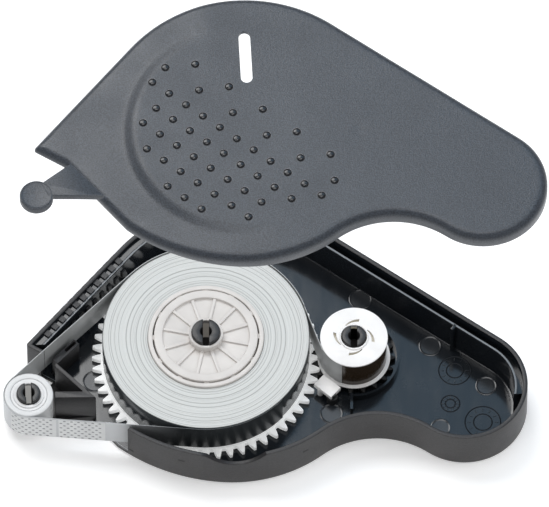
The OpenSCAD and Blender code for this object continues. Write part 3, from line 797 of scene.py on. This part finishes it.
def make_roll():
    """The roll of liner: its edge stands in slightly uneven turns."""
    s = Shape()
    low, high = corner_of("tape_roll", False), corner_of("tape_roll", True)
    inner = 19.25
    turns = 72
    top = []
    for k in range(turns + 1):
        r = inner + 0.15 + (ROLL_R - inner - 0.3) * k / turns
        lift = 0.05 * math.sin(2.3 * k) * math.sin(0.71 * k + 1) + 0.04 * math.sin(5.1 * k)
        top.append((r, high.z - 0.1 + lift))
    side = [(ROLL_R, high.z - 0.25), (ROLL_R, low.z + 0.2), (ROLL_R - 0.2, low.z)]
    profile = [(inner, low.z), (inner, high.z - 0.2)] + top
    rings = [[(r * math.cos(2 * math.pi * k / 160), r * math.sin(2 * math.pi * k / 160), z) for k in range(160)]
             for r, z in profile + side]
    s.loft(rings[:len(profile)], 0, caps=False)
    # The roll's side takes the darkened liner colour: painted shade
    s.loft(rings[len(profile) - 1:len(profile) + 2], 1, caps=False)
    s.loft([rings[-2], rings[-1], rings[0]], 0, caps=False)
    return s.done("liner_roll", "supply", [ROLL_EDGE, ROLL_SIDE], ["tape_roll"], "tape_side", sharp=60)


def make_core():
    s = Shape()
    low, high = corner_of("tape_core", False), corner_of("tape_core", True)
    inner, outer = 17.7, 19.2
    keys = 12
    ring = [(inner, low.z), (outer, low.z), (outer, high.z), (inner, high.z)]
    s.lathe(fillet([Vector(p) for p in ring], 0.3), SUPPLY_C, 120)
    for k in range(keys):
        a = 360 / keys * k + 1
        mid = ray(a, 17.5)
        s.box((mid.x, mid.y, (low.z + high.z) / 2 - 0.15), (0.58, 1.8, high.z - low.z - 0.5), a, 0.1)
    return s.done("core_ring", "supply", [HUB_WHITE], ["tape_core"], "core_white")


def make_pinion():
    s = Shape()
    low, high = corner_of("takeup_pinion", False), corner_of("takeup_pinion", True)
    turn = 180 + 180 / PINION_TEETH
    s.extrude([gear_outline(PINION_TEETH, turn, TAKEUP_C), circle(TAKEUP_C, 4.5, 48)], low.z, GEAR_TOP, 0.2)
    sleeve = [(4.08, low.z), (4.9, low.z), (4.9, high.z), (4.08, high.z)]
    s.lathe(fillet([Vector(p) for p in sleeve], 0.25), TAKEUP_C, 72)
    return s.done("pinion_and_sleeve", "pinion", [DARK], ["takeup_pinion"], "post")


def finger_slot(start):
    """A slot that winds inwards round a snap finger of the spool, and narrows on its way."""
    sides = [[TAKEUP_C + ray(start + 47 * k / 8, 6.6 - 1.4 * k / 8 + s * (0.5 - 0.045 * k)) for k in range(9)]
             for s in (1, -1)]
    return sides[0] + sides[1][::-1]


def make_spool():
    """Take-up spool: lower flange, barrel and a top disc with four snap fingers and a raised collar."""
    s = Shape()
    low, high = corner_of("takeup_spool", False), corner_of("takeup_spool", True)
    bore, top_bore, collar, barrel, disc, flange = 4.98, 4.3, 4.9, 8.0, 11.2, 12.1
    z0, top = low.z, 17.3
    flange_ring = [(bore, z0), (flange, z0), (flange, z0 + 0.5), (bore, z0 + 0.5)]
    s.lathe(fillet([Vector(p) for p in flange_ring], 0.15), TAKEUP_C, 96)
    s.lathe([(bore, z0 + 0.3), (barrel, z0 + 0.3), (barrel, top - 0.3), (barrel - 0.6, top - 0.3),
             (barrel - 0.6, top - 1.6), (bore, top - 1.6)], TAKEUP_C, 96)
    below_slots = [(bore, top - 1.7), (barrel - 0.65, top - 1.7), (barrel - 0.65, top - 1.3), (bore, top - 1.3)]
    s.lathe(below_slots, TAKEUP_C, 72, 1)
    openings = [circle(TAKEUP_C, top_bore + 0.1, 64)] + [finger_slot(a) for a in (75, 165, 255, 345)]
    s.extrude([circle(TAKEUP_C, disc, 120)] + openings, top - 0.6, top, 0.16)
    ring = [(top_bore, top - 1), (collar, top - 1), (collar, high.z), (top_bore, high.z)]
    s.lathe(fillet([Vector(p) for p in ring], 0.22), TAKEUP_C, 72)
    # A thin layer inside the bore that carries the painted light and shade
    painted_glow_lining = [(top_bore + 0.01, 10), (top_bore + 0.2, 10), (top_bore + 0.2, top - 1), (top_bore + 0.01, top - 1)]
    s.lathe(painted_glow_lining, TAKEUP_C, 48, 1)
    return s.done("spool_and_disc", "takeup", [SPOOL_WHITE, SPOOL_BORE], ["takeup_spool"], "spool_white")


def make_wound_liner():
    s = Shape()
    low, high = corner_of("wound_liner", False), corner_of("wound_liner", True)
    inner, steps = 8.02, 14
    side = [(WOUND_R - 0.02 - 0.05 * abs(math.sin(1.9 * k)), low.z + (high.z - low.z) * k / steps)
            for k in range(steps + 1)]
    s.lathe([(inner, low.z)] + side + [(inner, high.z)], TAKEUP_C, 96)
    return s.done("wound_waste_liner", "takeup", [WOUND], ["wound_liner"], "wound_liner", sharp=60)


def make_roller():
    """Front roller: a core with a raised rim inside a soft sleeve that swells against the liner."""
    core, sleeve = Shape(), Shape()
    low, high = corner_of("front_roller", False), corner_of("front_roller", True)
    ring = [(5.98, low.z), (5.98, high.z - 0.45), (5.2, high.z - 0.45), (5.0, high.z), (4.15, high.z),
            (3.98, high.z - 0.2), (3.98, high.z - 1.2), (3.98, low.z)]
    core.lathe(ring, ROLLER_C, 72)
    # A thin layer inside the bore that carries the painted light and shade
    painted_glow_lining = [(3.97, low.z + 0.5), (4.05, low.z + 0.5), (4.05, high.z - 1.2), (3.97, high.z - 1.2)]
    core.lathe(painted_glow_lining, ROLLER_C, 72, 1)
    core.done("roller_core", "roller", [ROLLER_WHITE, ROLLER_BORE], ["front_roller"], "roller_white")
    low, high = corner_of("roller_sleeve", False), corner_of("roller_sleeve", True)
    ring = [(6.02, low.z), (ROLLER_R, low.z), (ROLLER_R + 0.22, low.z + 2), (ROLLER_R + 0.22, high.z), (6.02, high.z)]
    sleeve.lathe(fillet([Vector(p) for p in ring], 0.45, 4), ROLLER_C, 96)
    sleeve.done("roller_tyre", "roller", [SLEEVE_WHITE], ["roller_sleeve"], "sleeve")


def make_pawl():
    s = Shape()
    low, high = corner_of("reverse_pawl", False), corner_of("reverse_pawl", True)
    s.box((40.2, -12.4, high.z - 0.95), (7.6, 5, 1.9), -41, 0.25)
    s.lathe(fillet([Vector(p) for p in ((0, low.z), (1, low.z), (1, high.z - 0.9), (0, high.z - 0.9))], 0.1),
            (37.9, -12.7), 32)
    return s.done("pawl_lever", "pawl", [SPOOL_WHITE], ["reverse_pawl"], "spool_white")


# ---------------------------------------------------------------- tape
PATH_ROLL, PATH_ROLLER = ROLL_R + 0.3, ROLLER_R + 0.3
LINE_ANGLE = direction(ROLLER_C, SUPPLY_C)
LINE_TURN = math.degrees(math.asin((PATH_ROLL - PATH_ROLLER) / ROLLER_C.length))
FRONT_DIR, BACK_DIR = LINE_ANGLE - LINE_TURN - 90, LINE_ANGLE + LINE_TURN + 90
PEEL_DIR = FRONT_DIR + 290
CROSSING = math.degrees(math.acos((PATH_ROLL + WOUND_R + 0.3) / TAKEUP_C.x))
PAD_LEN, PAD_GAP, FIRST_PAD = 15.5, 0.8, -5.7
DOT_PITCH, DOT_ROW = 2.35, 1.45


def ribbon(shape, inner, outer, z0, z1, slot=0):
    """A band between two paths of equal length, with softened long edges."""
    t = 0.06
    rows = [(0, z0 + t), (0, z1 - t), (0.25, z1), (0.75, z1), (1, z1 - t), (1, z0 + t), (0.75, z0), (0.25, z0)]
    rings = [[(*a.lerp(b, k), z) for k, z in rows] for a, b in zip(inner, outer)]
    shape.loft(rings, slot)


def face_point(along, t):
    """Point on the tape's face: along the tape from where it leaves the roller, and t out from it."""
    r = PATH_ROLLER + LINER
    if along < 0:
        return ROLLER_C + ray(FRONT_DIR + math.degrees(along / r), r + t)
    return ROLLER_C + ray(FRONT_DIR, r + t) + ray(FRONT_DIR + 90, along)


def tape_z(node):
    return corner_of(node, False).z, corner_of(node, True).z


def free_length(facing, t):
    """The straight way from the roller to the roll, on the side that faces a direction."""
    return edge(ROLLER_C + ray(facing, PATH_ROLLER + t), ray(facing, PATH_ROLL + t), 24)[1:]


def make_feed_tape():
    """The loaded tape between the roller's nose and the roll, which it joins tangentially."""
    def path(t):
        nose = arc(ROLLER_C, PATH_ROLLER + t, PEEL_DIR - 360, FRONT_DIR, 4)
        onto_roll = [ray(FRONT_DIR + 4 * k, PATH_ROLL + t - 0.02 * k) for k in range(1, 14)]
        return nose + free_length(FRONT_DIR, t) + onto_roll

    s = Shape()
    ribbon(s, path(0), path(LINER), *tape_z("feed_tape"))
    return s.done("feed_band", "casing", [FEED_LINER], ["feed_tape"], "tape_side")


def make_return_liner():
    """The spent liner: from the roller behind the roll, across to the take-up spool and round it."""
    def path(t):
        nose = arc(ROLLER_C, PATH_ROLLER + t, PEEL_DIR, BACK_DIR, 4)
        return nose + free_length(BACK_DIR, t) + arc(SUPPLY_C, PATH_ROLL + t, BACK_DIR, CROSSING, 2)[1:]

    s = Shape()
    ribbon(s, path(0), path(LINER), *tape_z("return_liner"))
    s.done("return_band", "casing", [LINER_SATIN], ["return_liner"], "liner")

    def across(t):
        """Over to the spool, then round it, settling close on the wound liner to clear the pawl."""
        free, settled = WOUND_TAPE_R - t + LINER, WOUND_R + 0.02 + (LINER - t) / 2
        span = [ray(CROSSING, PATH_ROLL + t).lerp(TAKEUP_C - ray(CROSSING, free), k / 10) for k in range(10)]
        radii = [free + (settled - free) * min(1, k / 3) for k in range(13)]
        return span + [TAKEUP_C + ray(180 + CROSSING + 4 * k, r) for k, r in enumerate(radii)]

    s = Shape()
    ribbon(s, across(0), across(LINER), *tape_z("crossing_liner"))
    s.done("crossing_band", "casing", [LINER_SATIN], ["crossing_liner"], "liner")


def make_pads():
    """Two adhesive pads on the liner, with a net of staggered dimples."""
    s = Shape()
    z0, z1 = tape_z("adhesive_pads")
    thick = 0.12
    for i in range(2):
        start = FIRST_PAD + i * (PAD_LEN + PAD_GAP)
        steps = [start + PAD_LEN * k / 24 for k in range(25)]
        ribbon(s, [face_point(u, 0) for u in steps], [face_point(u, thick) for u in steps], z0, z1)
        rows = int((z1 - z0) / DOT_ROW)
        for row in range(rows):
            z = z0 + (row + 0.5) * (z1 - z0) / rows
            u = start + DOT_PITCH * (0.35 + 0.5 * (row % 2))
            while u < start + PAD_LEN - 0.6:
                ring = [(u + 0.5 * math.cos(t), z + 0.36 * math.sin(t)) for t in (math.pi * n / 4 for n in range(8))]
                front = [(*face_point(w, thick + 0.006), h) for w, h in ring]
                back = [(*face_point(w, thick - 0.03), h) for w, h in ring]
                s.loft([back, front], 1)
                u += DOT_PITCH
    return s.done("pads_with_net", "casing", [PAD_NET, PAD_HOLE], ["adhesive_pads"], "pad")


# ---------------------------------------------------------------- CAD nodes that keep their shape
def dress_nodes():
    """Materials for the CAD nodes whose shape already is right."""
    finishes = {
        "pinion_shroud": INSIDE, "grip_nubs": CASING, "locating_tongues": COVER,
        "clutch_washer": FELT, "pawl_pin": POST,
    }
    for name, mat in finishes.items():
        mesh = NODES[name].data
        mesh.materials.clear()
        mesh.materials.append(mat)
    lift_light(NODES["locating_tongues"])


# ---------------------------------------------------------------- camera
SENSOR = 36.0
LENS = 977.0
DISTANCE = 4.947
ELEVATION = math.radians(60.7)
AIM = (0.0227, 0.0315, 0.0177)


def make_camera():
    """A very long lens, so both halves of the tool are seen at nearly one scale."""
    data = bpy.data.cameras.new("camera")
    data.sensor_width = SENSOR
    data.lens = LENS
    data.clip_start = 0.1
    data.clip_end = 30
    cam = bpy.data.objects.new("camera", data)
    bpy.context.collection.objects.link(cam)
    back = Vector((0, -math.cos(ELEVATION), math.sin(ELEVATION)))
    cam.location = Vector(AIM) + back * DISTANCE
    cam.rotation_euler = (-back).to_track_quat("-Z", "Y").to_euler()
    bpy.context.scene.camera = cam


# ---------------------------------------------------------------- light
def area_light(name, place, aim, size, power, glossy=True, color=(1, 1, 1)):
    data = bpy.data.lights.new(name, "AREA")
    data.shape = "RECTANGLE"
    data.size, data.size_y = size
    data.energy = power
    data.color = color
    lamp = bpy.data.objects.new(name, data)
    bpy.context.collection.objects.link(lamp)
    lamp.location = place
    lamp.rotation_euler = (Vector(aim) - Vector(place)).to_track_quat("-Z", "Y").to_euler()
    lamp.visible_glossy = glossy
    return lamp


def make_light():
    world = bpy.data.worlds.new("studio")
    bpy.context.scene.world = world
    world.use_nodes = True
    background = world.node_tree.nodes["Background"]
    background.inputs["Color"].default_value = (0.97, 0.98, 1, 1)
    background.inputs["Strength"].default_value = 0.28
    area_light("softbox", (-0.46, 0.66, 1.15), (-0.46, 0.02, 0.02), (0.9, 0.6), 10)
    area_light("blue_panel", (0.45, 0.66, 1.15), (0.45, 0.02, 0.02), (0.9, 0.6), 1.8, True, (0.4, 0.7, 1.0))
    area_light("side", (1.1, 0.1, 0.9), (0.05, 0, 0.02), (0.7, 0.7), 4, False)
    area_light("overhead", (0.0, 0.05, 1.4), (0.02, 0, 0.05), (0.7, 0.35), 3.0)
    area_light("front_left", (-0.8, -1.1, 0.95), (0.02, 0, 0.02), (1.0, 0.8), 3, False)
    area_light("front_right", (0.8, -1.1, 0.85), (0.02, 0, 0.02), (1.0, 0.8), 2.5, False)


def make_floor():
    mesh = bpy.data.meshes.new("floor")
    s = 12
    mesh.from_pydata([(-s, -s, 0), (s, -s, 0), (s, s, 0), (-s, s, 0)], [], [(0, 1, 2, 3)])
    floor = bpy.data.objects.new("floor", mesh)
    bpy.context.collection.objects.link(floor)
    mat = bpy.data.materials.new("floor_white")
    mat.use_nodes = True
    shader = mat.node_tree.nodes["Principled BSDF"]
    shader.inputs["Base Color"].default_value = (0.93, 0.93, 0.93, 1)
    shader.inputs["Emission Color"].default_value = (1, 1, 1, 1)
    shader.inputs["Emission Strength"].default_value = 0.3
    shader.inputs["Roughness"].default_value = 0.9
    mesh.materials.append(mat)


make_camera()
make_light()
make_floor()
make_cover()
make_pips()
make_guard()
make_casing()
make_arm()
make_floor_marks()
make_post("supply_post_split", "supply_post", SUPPLY_C, SUPPLY_POST_R)
make_post("takeup_post_split", "takeup_post", TAKEUP_C, TAKEUP_POST_R)
make_post("roller_post_split", "roller_post", ROLLER_C, ROLLER_POST_R, 4.0, 5)
make_drive_gear()
make_roll()
make_core()
make_pinion()
make_spool()
make_wound_liner()
make_roller()
make_pawl()
make_wall_slots()
make_feed_tape()
make_return_liner()
make_pads()
dress_nodes()
bpy.context.scene.view_settings.view_transform = "Standard"
